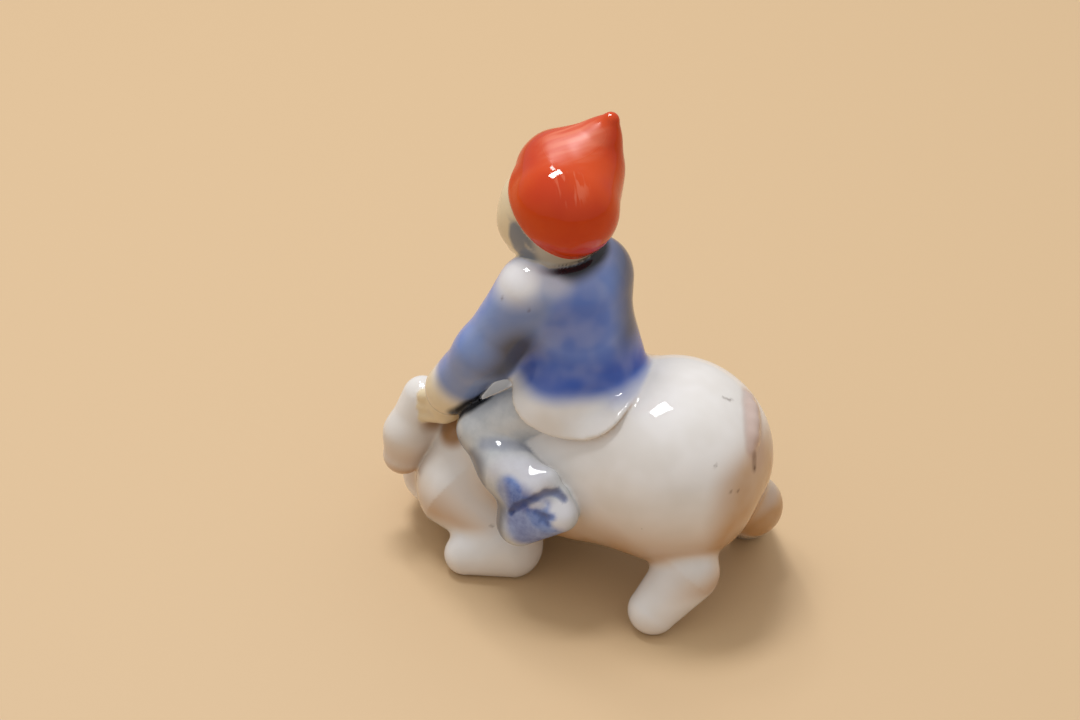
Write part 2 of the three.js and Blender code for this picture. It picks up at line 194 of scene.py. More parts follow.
def carve(softness, a, b):
    return lambda x, y, z: -soft(-a(x, y, z), b(x, y, z), softness)


def pair(softness, make):
    return join(softness, make(LEFT), make(RIGHT))


# The pig
def pig_body():
    x, y, z, r = RUMP["x"], RUMP["y"], RUMP["z"], RUMP["radius"]
    near = lobe((x + 0.5, y - 2.4, z + 0.1), (r, r * 0.88, r))
    far = lobe((x - 0.1, y + 2.5, z - 0.1), (r * 0.97, r * 0.74, r * 0.96))
    barrel = lobe((BARREL["x"], 0, BARREL["z"]), (BARREL["length"], BARREL["width"], BARREL["height"]))
    c = CHEST["radius"]
    chest = lobe((CHEST["x"], 0, CHEST["z"]), (c * 0.95, c, c))
    return join(2.5, join(2.5, near, far), barrel, chest)


def pig_nostril(side):
    return lobe((-6.7, side * 0.85, -1.3), (0.6, 0.4, 0.6))


def pig_eye(side):
    return lobe((-3.4, side * 3.0, 1.7), (0.8, 0.7, 0.6))


def pig_mouth(side):
    return limb(0.3, (-5.3, side * 0.6, -3.6, 0.3), (-3.2, side * 2.6, -3.0, 0.3))


def pig_head():
    r = PIG_HEAD["radius"]
    skull = lobe((0, 0, 0), (r, r * 0.96, r * 0.94))
    cheeks = pair(1, lambda side: lobe((-1.6, side * 2.8, -1.5), (2.7, 2.4, 2.6)))
    snout = limb(1, (-2.4, 0, -0.6, 3.3), (-5.0, 0, -1.4, 2.2))
    disc = lobe((-5.9, 0, -1.5), (0.8, 2.3, 2.0))
    face = join(0.4, join(1.6, skull, cheeks, snout), disc, pair(0.3, pig_eye))
    return carve(0.3, carve(0.3, face, pair(0.2, pig_nostril)), pair(0.3, pig_mouth))


def pig_ear(side):
    fore, out = (-0.3, 0) if side == LEFT else (-2.0, 0.9)
    root = limb(1, (0.4, side * 2.4, 3.4, 2.2), (0.5 + fore, side * (3.8 + out), 8.4, 1.8))
    top = (0.5 + fore, side * (4.3 + out), 9.6, 2.0)
    middle = (fore, side * (5.8 + out), 5.6, 2.2)
    tip = (fore - 0.3, side * (6.2 + out), 3.0, 2.0)
    return join(0.8, root, limb(1, top, middle, tip))


def foreleg(side):
    shoulder = limb(1.5, (-13.6, side * 4.0, 6.4, 5.4), (-8.4, side * 5.9, 3.4, 3.0))
    foot = limb(1, (-7.8, side * 6.5, 2.4, 2.9), (-11.7, side * 8.7, 1.8, 2.1))
    return join(1.2, shoulder, foot)


def hind_leg(side):
    back = 0 if side == LEFT else 1.8
    hip = (10.3 + back * 0.95, side * 5.3, 5.4 + back * 0.75, 3.1)
    foot = (8.2 + back, side * (8.1 + back * 0.75), 2.0, 2.4)
    return limb(1, hip, foot)


def tail_stations(aside=0.0, below=0.0):
    stations = []
    for i in range(TAIL_STATIONS):
        share = i / (TAIL_STATIONS - 1)
        y = TAIL["y"] + TAIL["across"] * share
        z = TAIL["z"] + TAIL["climb"] * math.sin(math.pi / 2 * share)
        square = (RUMP["radius"] + TAIL["lift"]) ** 2 - (y - RUMP["y"]) ** 2 - (z - RUMP["z"]) ** 2
        x = RUMP["x"] + math.sqrt(square) + aside
        stations.append((x, y, z - below, TAIL["radius"] - TAIL["taper"] * i))
    return stations


# The elf
def flap(side):
    return lobe((-1.9, side * 6.5, 24.0), (6.1, 7.0, 5.95))


# The coat's skirt reaches as far as two flaps and the back between them, and is cut off at the rear
REAR = behind((3.9, 0, 21), (0.66, 0.33, 0.62))
BACK = lobe((-2.0, 0, 23.6), (6.4, 7.0, 5.6))
SKIRT = inside(1, join(2, pair(2, flap), BACK), REAR)


# The coat is a torso with shoulders, and a skirt of cloth that lies on the form under it
def coat(under):
    torso = limb(2.5, (SEAT["x"], 0, SEAT["z"], 6.0), (SEAT["x"] - 0.9, 0.2, 28.8, 5.0))
    x, z, r = SHOULDER["x"], SHOULDER["z"], SHOULDER["radius"]
    fore = math.sin(SHOULDER["turn"]) * SHOULDER["half"]
    out = math.cos(SHOULDER["turn"]) * SHOULDER["half"]
    shoulders = limb(1, (x - fore, -out, z, r), (x + fore, out, z - 0.4, r))

    def cloth(px, py, pz):
        share = np.clip(-REAR(px, py, pz) / COAT_THINS_OVER, 0, 1)
        return under(px, py, pz) - COAT_THICK * share

    skirt = inside(0.4, cloth, SKIRT)
    return join(2.0, join(3.5, torso, shoulders), skirt)


ARM = {
    LEFT: ((-7.1, -4.1, 30.9, 3.0), (-10.8, -6.2, 24.2, 2.6), (-14.5, -5.8, 18.6, 2.6)),
    RIGHT: ((-4.2, 3.6, 29.6, 2.8), (-8.2, 6.7, 24.2, 2.6), (-11.4, 6.2, 18.8, 2.5)),
}


def arm(side):
    return limb(1.2, *ARM[side])


def hand(side):
    palm = (-15.5, -5.4, 16.4) if side == LEFT else (-12.4, 5.8, 16.4)
    ear = (-17.6, -4.8, 15.6) if side == LEFT else (-15.4, 5.6, 15.6)
    fingers = []
    for up in (-1.1, 0, 1.1):
        knuckle = (palm[0], palm[1] + side * 0.5, palm[2] + up, 0.9)
        fingers.append(limb(0.3, knuckle, (ear[0], ear[1] + side, ear[2] + up, 0.7)))
    return join(0.3, lobe(palm, (1.9, 1.7, 2.1)), *fingers)


def leg(side):
    knee = (-10.3, side * 7.1, 16.1, 2.6)
    thigh = limb(1, (-4.5, side * 4.5, 19.8, 2.8), knee)
    shin = limb(1, knee, (-4.55, side * 9.2, 11.5, 2.6))
    calf = limb(1, (-7.05, side * 9.05, 14.2, 2.4), (-3.5, side * 10.1, 13.75, 1.9))
    fold_end = (-1.15, side * 9.8, 13.5, 0.9)
    fold = limb(1, (-4.9, side * 9.1, 15.25, 0.9), (-2.3, side * 9.7, 14.65, 0.9), fold_end)
    shoe = limb(0.8, (-0.7, side * 10.0, 11.4, 1.75), (-5.0, side * 9.95, 8.85, 2.25))
    return join(0.4, thigh, join(1.6, shin, join(0.5, calf, fold), shoe))


def socket(side):
    return lobe((-5.4, side * 1.7, 0.8), (0.9, 0.9, 0.7))


MOUTH = limb(0.3, (-4.6, -1.2, -2.2, 0.25), (-4.9, 0, -2.6, 0.25), (-4.6, 1.2, -2.2, 0.25))


def head():
    r = HEAD["radius"]
    skull = lobe(*SKULL)
    cheeks = pair(1, lambda side: lobe((-1.7, side * 1.9, -1.4), (2.2, 2.1, 2.3)))
    chin = lobe((-2.9, 0, -4.1), (2.0, 2.4, 1.9))
    jaw = lobe((0.5, 0, -1.5), (r * 0.9, r * 0.86, r * 0.9))
    nose = lobe((-4.9, 0, -0.5), (0.9, 0.8, 0.8))
    face = join(0.6, join(1.2, skull, jaw, cheeks, chin), nose)
    return carve(0.4, carve(0.8, face, pair(0.3, socket)), MOUTH)


rim = behind(RIM["at"], RIM["faces"])


def cap():
    crown = placed(lobe(SKULL[0], [half + CAP_WALL for half in SKULL[1]]), HEAD)
    drop = join(0.5, limb(1.5, *BULB, *PEAK), limb(1, BULB[0], PEAK[0]), crown)
    return inside(0.4, drop, rim)


def neck():
    foot = (NECK["x"], 0, NECK["foot"], NECK["radius"])
    top = (NECK["x"] + NECK["lean"], 0, NECK["top"], NECK["radius"])
    return limb(1, foot, top)


# The forms that the paint tells apart
pig_form = join(1.2, pig_body(), placed(pig_head(), PIG_HEAD), pair(1, foreleg), pair(1, hind_leg))
ears_form = placed(pair(GLAZE, pig_ear), PIG_HEAD)
tail_form = limb(0.8, *tail_stations())
neck_form = neck()
head_form = placed(head(), HEAD)
cap_form = cap()
arms_form = pair(GLAZE, arm)
hands_form = pair(GLAZE, hand)
legs_form = pair(GLAZE, leg)
coat_form = coat(join(2.5, pig_form, pair(1, leg)))

dress = join(2, coat_form, arms_form)
head_and_cap = join(GLAZE, head_form, cap_form)
whole = join(GLAZE, pig_form, ears_form, tail_form, dress, neck_form, head_and_cap, hands_form, legs_form)


# Finer carving, on this mesh alone: a groove where the trouser meets the shoe, and a star-shaped dent
CUFF = (
    (-4.95, 11.75, 11.3), (-4.4, 11.95, 12.2), (-3.4, 12.0, 13.0), (-2.4, 11.7, 13.75),
    (-1.7, 11.0, 14.15), (-0.8, 10.45, 14.15), (-0.1, 10.35, 13.6),
)
CUFF_RADIUS = 0.17
DENT = {"x": -1.6, "y": 11.75, "z": 11.85, "radius": 0.26, "tip": 0.05}
DENT_RAYS = ((0.9, 0.3), (0.5, 1.4), (0.75, 2.7), (0.4, 4.1), (0.85, 5.3))


def cuff(side):
    return limb(0.3, *[(x, side * y, z, CUFF_RADIUS) for x, y, z in CUFF])


def dent(side):
    middle = (DENT["x"], side * DENT["y"], DENT["z"], DENT["radius"])
    rays = []
    for reach, turn in DENT_RAYS:
        x = DENT["x"] + reach * math.cos(turn)
        z = DENT["z"] + reach * math.sin(turn)
        rays.append(limb(0.3, middle, (x, side * DENT["y"], z, DENT["tip"])))
    return join(0.1, *rays)


cuffs = pair(0.2, cuff)
dents = pair(0.2, dent)
floor_plane = behind((0, 0, 0), (0, 0, -1))
figure = inside(0.15, carve(GLAZE, whole, join(0.2, cuffs, dents)), floor_plane)


# Meshing: one point in each cell that the surface crosses, joined across the lattice's edges
def lattice_values(field):
    steps = [int(math.ceil((h - l) / FINE / COARSE)) for l, h in zip(LOW, HIGH)]
    nodes = [COARSE * n + 1 for n in steps]
    axes = [l + FINE * np.arange(n) for l, n in zip(LOW, nodes)]
    grid = np.meshgrid(*[a[::COARSE] for a in axes], indexing="ij")
    coarse = field(*[g.ravel() for g in grid]).reshape(grid[0].shape)
    nearest = np.full(steps, np.inf)
    for di, dj, dk in CORNERS:
        part = coarse[di:di + steps[0], dj:dj + steps[1], dk:dk + steps[2]]
        nearest = np.minimum(nearest, np.abs(part))
    spread = nearest < REACH
    signs = coarse[:-1, :-1, :-1]
    for axis in range(3):
        spread = np.repeat(spread, COARSE, axis)
        signs = np.repeat(signs, COARSE, axis)
    wanted = np.zeros(nodes, bool)
    for di, dj, dk in CORNERS:
        wanted[di:di + spread.shape[0], dj:dj + spread.shape[1], dk:dk + spread.shape[2]] |= spread
    values = np.ones(nodes)
    values[:-1, :-1, :-1] = signs
    i, j, k = np.nonzero(wanted)
    values[wanted] = field(axes[0][i], axes[1][j], axes[2][k])
    return axes, values


def crossed_cells(full):
    cells = [n - 1 for n in full.shape]
    count = np.zeros(cells, np.int8)
    for di, dj, dk in CORNERS:
        count += full[di:di + cells[0], dj:dj + cells[1], dk:dk + cells[2]]
    return (count > 0) & (count < len(CORNERS))


def cell_points(axes, values, at):
    total = np.zeros((len(at), 3))
    hits = np.zeros(len(at))
    for a in range(len(CORNERS)):
        for bit in (1, 2, 4):
            if a & bit:
                continue
            pa, pb = np.array(CORNERS[a]), np.array(CORNERS[a | bit])
            va = values[tuple((at + pa).T)]
            vb = values[tuple((at + pb).T)]
            cut = (va < 0) != (vb < 0)
            t = np.where(cut, va / np.where(cut, va - vb, 1), 0)
            total += cut[:, None] * (pa + (pb - pa) * t[:, None])
            hits += cut
    origin = np.array([a[0] for a in axes])
    return origin + FINE * (at + total / hits[:, None])


def faces_across(axis, full, name):
    o1, o2 = [o for o in range(3) if o != axis]
    low = [slice(1, -1)] * 3
    low[axis] = slice(0, -1)
    high = [slice(1, -1)] * 3
    high[axis] = slice(1, None)
    first, second = full[tuple(low)], full[tuple(high)]
    edge = np.argwhere(first != second)
    outward = first[tuple(edge.T)]
    base = edge + 1
    base[:, axis] -= 1
    ring = []
    for s1, s2 in ((-1, -1), (0, -1), (0, 0), (-1, 0)):
        cell = base.copy()
        cell[:, o1] += s1
        cell[:, o2] += s2
        ring.append(name[tuple(cell.T)])
    ring = np.stack(ring, 1)
    flip = outward if axis == 1 else ~outward
    ring[flip] = ring[flip][:, ::-1]
    return ring


def surface_of(field):
    axes, values = lattice_values(field)
    full = values < 0
    crossed = crossed_cells(full)
    at = np.argwhere(crossed)
    name = np.full(crossed.shape, -1, np.int64)
    name[crossed] = np.arange(len(at))
    faces = [faces_across(axis, full, name) for axis in range(3)]
    return cell_points(axes, values, at), np.concatenate(faces)


def slope_of(field, places):
    slope = np.empty_like(places)
    for axis in range(3):
        ahead, back = places.copy(), places.copy()
        ahead[:, axis] += SLOPE_STEP
        back[:, axis] -= SLOPE_STEP
        slope[:, axis] = (field(*ahead.T) - field(*back.T)) / (2 * SLOPE_STEP)
    return slope


def settled(field, places):
    for _ in range(SETTLE["rounds"]):
        slope = slope_of(field, places)
        square = np.maximum((slope ** 2).sum(1), SETTLE["least_slope"])
        move = -(field(*places.T) / square)[:, None] * slope
        length = np.linalg.norm(move, axis=1, keepdims=True)
        places = places + move * np.minimum(1, SETTLE["stride"] * FINE / np.maximum(length, TINY))
    return places


points, quads = surface_of(figure)
points = settled(figure, points)
points[:, 2] = np.maximum(points[:, 2], 0)
normals = slope_of(figure, points)
normals /= np.maximum(np.linalg.norm(normals, axis=1, keepdims=True), TINY)
X, Y, Z = points.T

FORMS = {
    "pig": pig_form(X, Y, Z),
    "ears": ears_form(X, Y, Z),
    "tail": tail_form(X, Y, Z),
    "coat": coat_form(X, Y, Z),
    "arms": arms_form(X, Y, Z),
    "neck": neck_form(X, Y, Z),
    "head": head_form(X, Y, Z),
    "cap": cap_form(X, Y, Z),
    "hands": hands_form(X, Y, Z),
    "legs": legs_form(X, Y, Z),
}

# Paint: how strongly each glaze colour lies on each point, from 0 to 1

# Patches on one side only: each one's middle, radii, width of edge and strength
SPOTS = {
    # The near shoulder's two patches: the coat painted pale there, as a highlight where the light falls
    "shoulder": ((-7.4, -6.0, 32.9), (2.7, 2.6, 2.2), 1.3, 1),
    "shoulder_back": ((-5.0, -4.4, 32.9), (2.6, 2.2, 1.5), 1.0, 0.6),
    "back": ((-1.8, -4.5, 28.6), (3.6, 3.6, 3.6), 2.4, 0.6),
    "rump": ((14.6, 0.6, 17.0), (1.5, 2.0, 1.8), 0.8, 0.6),
    # The cap's two patches: pale brush streaks, partly a painted sheen of reflected light
    "cap_top": ((-5.9, 1.2, 44.2), (3.4, 4.0, 1.3), 0.9, 1),
    "cap_side": ((-3.7, -2.6, 42.3), (1.6, 1.5, 2.4), 0.5, 1),
}

# Patches that both sides have, written for the left one
PATCHES = {
    # Under the arm: painted shade
    "under_arm": ((-7.6, -7.2, 25.3), (2.8, 3.0, 3.0), 1.8, 0.75),
    "calf": ((-4.4, -11.0, 14.9), (3.2, 2.4, 1.9), 0.9, 1),
    "shin": ((-6.2, -11.0, 11.5), (1.1, 2.6, 3.6), 0.6, 1),
    "shoe": ((-2.6, -11.6, 10.6), (3.0, 2.6, 3.1), 0.7, 1),
    "ankle": ((-5.2, -11.9, 13.5), (1.2, 1.6, 1.5), 0.6, 1.3),
    "cuff": ((-4.2, -11.9, 13.8), (1.6, 1.4, 1.0), 0.6, 0.5),
    "heel": ((-0.2, -10.9, 12.3), (1.1, 1.6, 1.5), 0.5, 1),
    "heel_top": ((-2.2, -11.8, 12.9), (1.0, 1.0, 0.5), 0.3, 0.7),
    # The hollow between the pig's ear and the hand: painted shade
    "hollow_shade": ((-15.3, -5.8, 14.0), (2.4, 2.2, 2.0), 0.7, 1),
}

# Features of the two faces, placed on their heads
FEATURES = {
    "eye": (HEAD, (-4.9, 1.7, 0.75), (0.9, 0.48, 0.42), 0.12, 1),
    "brow": (HEAD, (-4.8, 1.7, 1.75), (1.2, 0.8, 0.14), 0.12, 0.6),
    "cheek": (HEAD, (-4.0, 2.7, -1.3), (1.6, 1.1, 1.0), 0.6, 0.4),
    "pig_eye": (PIG_HEAD, (-3.8, 3.2, 2.0), (0.9, 0.9, 0.45), 0.12, 1),
    "snout": (PIG_HEAD, (-6.2, 0, -1.5), (1.6, 2.6, 2.3), 0.6, 0.5),
}

# Fades: where each starts and ends, in millimetres or as a share of a slope, and its strength
FADES = {
    "hem": (-0.8, 1.0, 1),
    "cuff": (1.2, 2.8, 1),
    "collar": (32.0, 34.5, 0.35),
    "band_foot": (-0.5, 1.3, 1),
    "band_top": (1.6, 6.5, 1),
    "ridge": (0.5, 1.1, 1),
    "fist": (0.2, 1.9, 1),
    "underside": (0.35, -0.35, 1),
    "far_back": (-1.4, 1.6, 0.9),
    "above_band": (2.0, 5.0, 1),
    "leg_front": (0.1, 0.55, 0.8),
    "thigh": (15.0, 17.5, 1),
    "behind_neck": (-6.2, -4.2, 1),
    "below_nape": (0.8, 1.7, 1),
    "above_coat": (0.1, 0.6, 1),
    "under_sleeve": (0.0, 0.8, 1),
    "between_legs": (-0.2, 1.2, 0.7),
    "nostril": (0.0, 0.3, 0.8),
    "lips": (0.05, 0.35, 0.8),
    "rim": (0.9, 1.3, 1),
    "rim_side": (36.8, 38.2, 1),
    "locks": (-0.1, 0.5, 1),
    "hair_front": (-3.0, -1.8, 1),
    "nape_shade": (0.4, 2.4, 1),
    "halo": (0.2, 1.2, 0.7),
    "clear_of_dent": (0.1, 0.6, 1),
    "cuff_line": (0.05, 0.4, 0.75),
    "dent_line": (0.02, 0.3, 0.6),
    "knee_fold_shade": (0.0, 0.8, 0.35),
    "tail": (0.0, 0.9, 1),
    "tail_start": (-0.6, 1.0, 0.9),
    "tail_edge": (-0.9, -0.2, 1),
    "below_tail": (0.15, 0.6, 1),
    "low_down": (5.0, 17.0, 1),
    "belly": (-0.75, 0.6, 1),
    "rear": (12.2, 14.9, 0.8),
    "rear_top": (16.5, 20.0, 1),
    "feet": (3.5, 6.0, 0.9),
    "under_hem": (0.2, 0.5, 0.7),
    "hem_edge_shade": (0.0, 1.0, 1),
    "speck": (0.08, 0.26, 1),
    "crack": (0.0, 0.16, 1),
}

# Painted lines, and painted shadows under the sleeves, between arm and thigh and in the knee's fold: places
# along them, with the radius as well where it changes
UNDER_SLEEVE = ((-12.9, -7.9, 17.2, 0.5), (-11.6, -7.4, 18.4, 0.4), (-10.4, -6.6, 19.6, 0.2))
BETWEEN_LEGS = ((-12.6, -5.0, 16.9, 0.8), (-11.5, -2.4, 17.4, 1.0), (-10.6, 0.0, 18.2, 0.8))
KNEE_FOLD = ((-8.8, -9.9, 16.6), (-7.0, -9.4, 16.8), (-5.2, -8.1, 16.1))
KNEE_FOLD_RADIUS = 0.2
LOCKS = ((0.4, -4.8, -0.3), (0.4, -4.6, -1.2), (0.6, -4.3, -2.3), (1.9, -4.3, -3.0), (2.8, -3.7, -3.0))
LOCK_RADIUS = 0.8
BELOW_TAIL = ((14.5, -0.2, 17.0), (14.85, -0.9, 16.2))
CRACK = ((10.25, 1.4, 21.15), (10.75, 1.62, 20.9), (10.95, 2.1, 20.85))
HAIRLINE = 0.05
TAIL_EDGE = {"aside": 0.3, "below": 1.25}
SPECKS = (
    (5.07, -4.99, 21.12), (7.6, 4.7, 21.2), (10.6, 3.1, 20.0), (14.5, -3.92, 15.37), (14.11, -4.64, 15.59),
    (14.76, -0.79, 16.05), (-9.0, -8.3, 5.8), (-8.4, -6.9, 31.2), (-5.7, -6.8, 30.7), (12.66, -5.0, 18.28),
)

# Widths of the borders between paints, the hem's line, and what each paint takes from the patches
BORDER = {"skin": 0.12, "cloth": 0.2, "pig": 0.3, "sleeve": 0.6}
HEM = {"z": 21.5, "x": -1.5, "dip": 0.03}
RIDGE_RISE = 0.6
FAR_BACK_SLANT = 0.6
SHOULDER_HIGHLIGHT = 0.9
DEEP = {"least": 0.42, "most": 0.55, "sleeve": 0.25, "ridge": 0.35}
FIST_SKIN = 0.9
SLEEVE_SHADE = 0.35
GAP_SHADOW = 0.95
GREY = {"calf": 0.85, "shoe": 0.8, "shin": 0.6}
SHOE_BLUE = {"calf": 0.2, "shoe": 0.85, "shin": 0.5}
TAIL_PINK = 0.7
MARKS_AND_SHADE = {"specks": 0.5, "crack": 0.6, "tail": 0.5, "hollow_shade": 0.35}


def ramp(value, low, high):
    t = np.clip((value - low) / (high - low), 0, 1)
    return t * t * (3 - 2 * t)


def rising(value, fade):
    low, high, strength = FADES[fade]
    return strength * ramp(value, low, high)


def falling(value, fade):
    low, high, strength = FADES[fade]
    return strength * (1 - ramp(value, low, high))


def spot(name):
    centre, radii, edge, strength = SPOTS[name]
    return strength * (1 - ramp(lobe(centre, radii)(X, Y, Z), -edge, edge))


def both_sides(field):
    return mirrored(field)(X, Y, Z)


def patch(name):
    centre, radii, edge, strength = PATCHES[name]
    return strength * (1 - ramp(both_sides(lobe(centre, radii)), -edge, edge))


def feature(name, side=LEFT):
    at, (x, y, z), radii, edge, strength = FEATURES[name]
    gap = placed(lobe((x, side * y, z), radii), at)(X, Y, Z)
    return strength * (1 - ramp(gap, -edge, edge))


def both(name):
    return feature(name, LEFT) + feature(name, RIGHT)


def on(*names, border="skin"):
    mine = np.minimum.reduce([FORMS[n] for n in names])
    rest = np.minimum.reduce([FORMS[n] for n in FORMS if n not in names])
    return ramp(rest - mine, -BORDER[border], BORDER[border])


def up_sleeve(side):
    wrist, elbow = np.array(ARM[side][2][:3]), np.array(ARM[side][1][:3])
    way = elbow - wrist
    return (points - wrist) @ way / np.linalg.norm(way)


def hairline(places):
    return limb(0.1, *thread(places, HAIRLINE))(X, Y, Z)


faces_up, faces_fore = normals[:, 2], -normals[:, 0]
on_dress = on("coat", "arms", border="cloth")
on_legs = on("legs", border="cloth")
on_cap = on("cap", border="cloth")
on_pig = on("pig", "ears", "tail", border="pig")
on_head = on("head", "neck")
on_hands = on("hands")

# The coat: blue above a white hem, deepest low down, painted pale at the near shoulder as a highlight,
# greyer on the sleeves
sleeve = on("arms", border="sleeve")
hem = Z - HEM["z"] - HEM["dip"] * (X - HEM["x"]) ** 2
wrist = np.where(Y < 0, up_sleeve(LEFT), up_sleeve(RIGHT))
shoulder = np.maximum(spot("shoulder"), spot("shoulder_back"))
above_hem = (1 - sleeve) * rising(hem, "hem") + sleeve * rising(wrist, "cuff")
blue = on_dress * above_hem * (1 - SHOULDER_HIGHLIGHT * shoulder) * (1 - rising(Z, "collar"))
low_band = rising(hem, "band_foot") * falling(hem, "band_top")
# The sleeves' ridge, turned to the light: painted a deeper blue and kept clear of the painted shade
ridge = rising(faces_fore + RIDGE_RISE * faces_up, "ridge")
deep_back = DEEP["least"] + DEEP["most"] * np.maximum(low_band, spot("back"))
deep = deep_back * (1 - sleeve) + sleeve * (DEEP["sleeve"] + DEEP["ridge"] * ridge)

# Bare skin: the head, the hands and the ends of the arms
fist = on("arms", border="cloth") * falling(wrist, "fist")
skin = np.maximum(np.maximum(on_head, on_hands), FIST_SKIN * fist)

# Painted grey shade under the arms, on the sleeves below their ridge, on the far half of the back and down
# the front of the legs
under_arm = patch("under_arm") * rising(faces_up, "underside")
far_back = rising(X + FAR_BACK_SLANT * Y, "far_back") * rising(hem, "above_band")
leg_front = on_legs * rising(faces_fore, "leg_front") * falling(Z, "thigh")
dress_shade = np.clip(under_arm + SLEEVE_SHADE * sleeve * (1 - ridge) + far_back, 0, 1)
shade = np.maximum(on_dress * dress_shade * (1 - fist) * (1 - shoulder), leg_front)

# Near black painted shadow: under the nape, under each sleeve and between each arm and thigh
from_head = np.minimum(FORMS["head"], FORMS["neck"])
collar = rising(X, "behind_neck") * np.maximum(
    on_dress * falling(from_head, "below_nape"),
    on_head * falling(FORMS["coat"], "above_coat"),
)
under_sleeve = falling(both_sides(limb(0.5, *UNDER_SLEEVE)), "under_sleeve")
between_legs = falling(both_sides(limb(0.5, *BETWEEN_LEGS)), "between_legs")
gap_shadow = np.maximum(under_sleeve, between_legs) * (1 - on_hands)
painted_shadow = np.clip(collar + GAP_SHADOW * gap_shadow, 0, 1)

# The faces: painted eyes and brows, lips, cheeks, the grey hair along the cap's rim, and painted shade on
# the nape
nostrils = falling(placed(pair(0.2, pig_nostril), PIG_HEAD)(X, Y, Z), "nostril")
ink = np.clip(both("eye") + both("brow") + both("pig_eye") + nostrils, 0, 1)
lips = falling(placed(MOUTH, HEAD)(X, Y, Z), "lips")
rose = np.clip(lips + both("cheek") + feature("snout"), 0, 1)
turned = -(X - HEAD["x"]) * math.cos(HEAD["turn"]) + (Y - HEAD["y"]) * math.sin(HEAD["turn"])
locks = placed(mirrored(limb(0.3, *thread(LOCKS, LOCK_RADIUS))), HEAD)(X, Y, Z)
along_rim = falling(rim(X, Y, Z), "rim") * falling(Z, "rim_side")
hair = on_head * np.maximum(falling(locks, "locks"), along_rim) * rising(turned, "hair_front")
# The nape's skin painted darker, as shade under the cap
nape_shade = on_head * rising(-turned, "nape_shade") * (1 - hair)

# The legs: grey trousers, pale blue calves, mottled blue and white shoes, dark lines at the cuffs and dents,
# and painted shade in the knee's fold
calf = patch("calf")
shin = patch("shin")
shoe = patch("shoe")
from_dent = dents(X, Y, Z)
bare_grey = 1 - GREY["calf"] * calf - GREY["shoe"] * shoe + GREY["shin"] * shin
grey = on_legs * np.clip(bare_grey, 0, 1)
shoe_patches = SHOE_BLUE["shoe"] * shoe + patch("ankle") + patch("cuff")
shoe_patches = shoe_patches + falling(from_dent, "halo") + SHOE_BLUE["calf"] * calf
shoe_blue = on_legs * np.clip(shoe_patches, 0, 1) * (1 - SHOE_BLUE["shin"] * shin)
heel = on_legs * np.maximum(patch("heel"), patch("heel_top")) * rising(from_dent, "clear_of_dent")
cuff_line = falling(np.abs(cuffs(X, Y, Z)), "cuff_line")
dent_line = falling(np.abs(from_dent), "dent_line")
# Painted shade along the knee's fold
knee_fold_shade = falling(both_sides(limb(0.3, *thread(KNEE_FOLD, KNEE_FOLD_RADIUS))), "knee_fold_shade")
line = on_legs * np.maximum(np.maximum(cuff_line, dent_line), knee_fold_shade)

# The pig: pinkish tail with a brown edge that is partly dirt and partly painted shadow; warm painted shade
# and floor reflection low down, at the rear and in the hollow by the ear; painted shadow along the hem's
# lower edge; a crack and a few specks
tail_pink = TAIL_PINK * np.maximum(falling(FORMS["tail"], "tail"), spot("rump"))
from_tail_edge = limb(0.3, *tail_stations(**TAIL_EDGE))(X, Y, Z)
tail_edge = rising(Y, "tail_start") * falling(from_tail_edge, "tail_edge")
tail_brown = np.maximum(tail_edge, falling(hairline(BELOW_TAIL), "below_tail"))
warm_low = falling(Z, "low_down") * rising(-faces_up, "belly") * (1 - falling(Z, "feet"))
rear_warm = rising(X, "rear") * falling(Z, "rear_top")
hollow_shade = patch("hollow_shade")
# A painted shadow along the coat's lower edge where it meets the pig
hem_edge_shade = on_dress * (1 - sleeve) * falling(FORMS["pig"], "under_hem") * rising(-hem, "hem_edge_shade")
warm_shade_and_reflection = np.maximum(on_pig * np.clip(warm_low + rear_warm + hollow_shade, 0, 1), hem_edge_shade)
# Dark marks: real specks and a crack, the tail's brown edge that is partly dirt and partly painted shadow,
# and painted shade in the hollow by the ear
specks = np.maximum.reduce([falling(np.linalg.norm(points - place, axis=1), "speck") for place in SPECKS])
crack = falling(hairline(CRACK), "crack")
spots_and_lines = MARKS_AND_SHADE["specks"] * specks + MARKS_AND_SHADE["crack"] * crack + MARKS_AND_SHADE["tail"] * tail_brown
marks_and_shade = np.clip(spots_and_lines + MARKS_AND_SHADE["hollow_shade"] * on_pig * hollow_shade, 0, 1)

ATTRIBUTES = {
    "blue": blue,
    "deep": deep,
    "shade": shade,
    "painted_shadow": painted_shadow,
    "skin": skin,
    "hair": hair,
    "nape_shade": nape_shade,
    "grey": grey,
    "shoe_blue": shoe_blue,
    "heel": heel,
    "line": line,
    "cap": on_cap,
    "streaks_and_sheen": spot("cap_top"),
    "strokes_and_glints": spot("cap_side"),
    "pink": tail_pink,
    "warm_shade_and_reflection": warm_shade_and_reflection,
    "marks_and_shade": marks_and_shade,
    "ink": ink,
    "rose": rose,
}


# The piece, with its box's middle and its soles where the solid's are
def make_piece(name, coordinates, faces):
    mesh = bpy.data.meshes.new(name)
    mesh.vertices.add(len(coordinates))
    mesh.vertices.foreach_set("co", coordinates.astype(np.float32).ravel())
    mesh.loops.add(faces.size)
    mesh.loops.foreach_set("vertex_index", faces.astype(np.int32).ravel())
    mesh.polygons.add(len(faces))
    mesh.polygons.foreach_set("loop_start", np.arange(0, faces.size, faces.shape[1], dtype=np.int32))
    mesh.update(calc_edges=True)
    mesh.validate()
    mesh.polygons.foreach_set("use_smooth", np.ones(len(mesh.polygons), bool))
    piece = bpy.data.objects.new(name, mesh)
    bpy.context.scene.collection.objects.link(piece)
    return piece


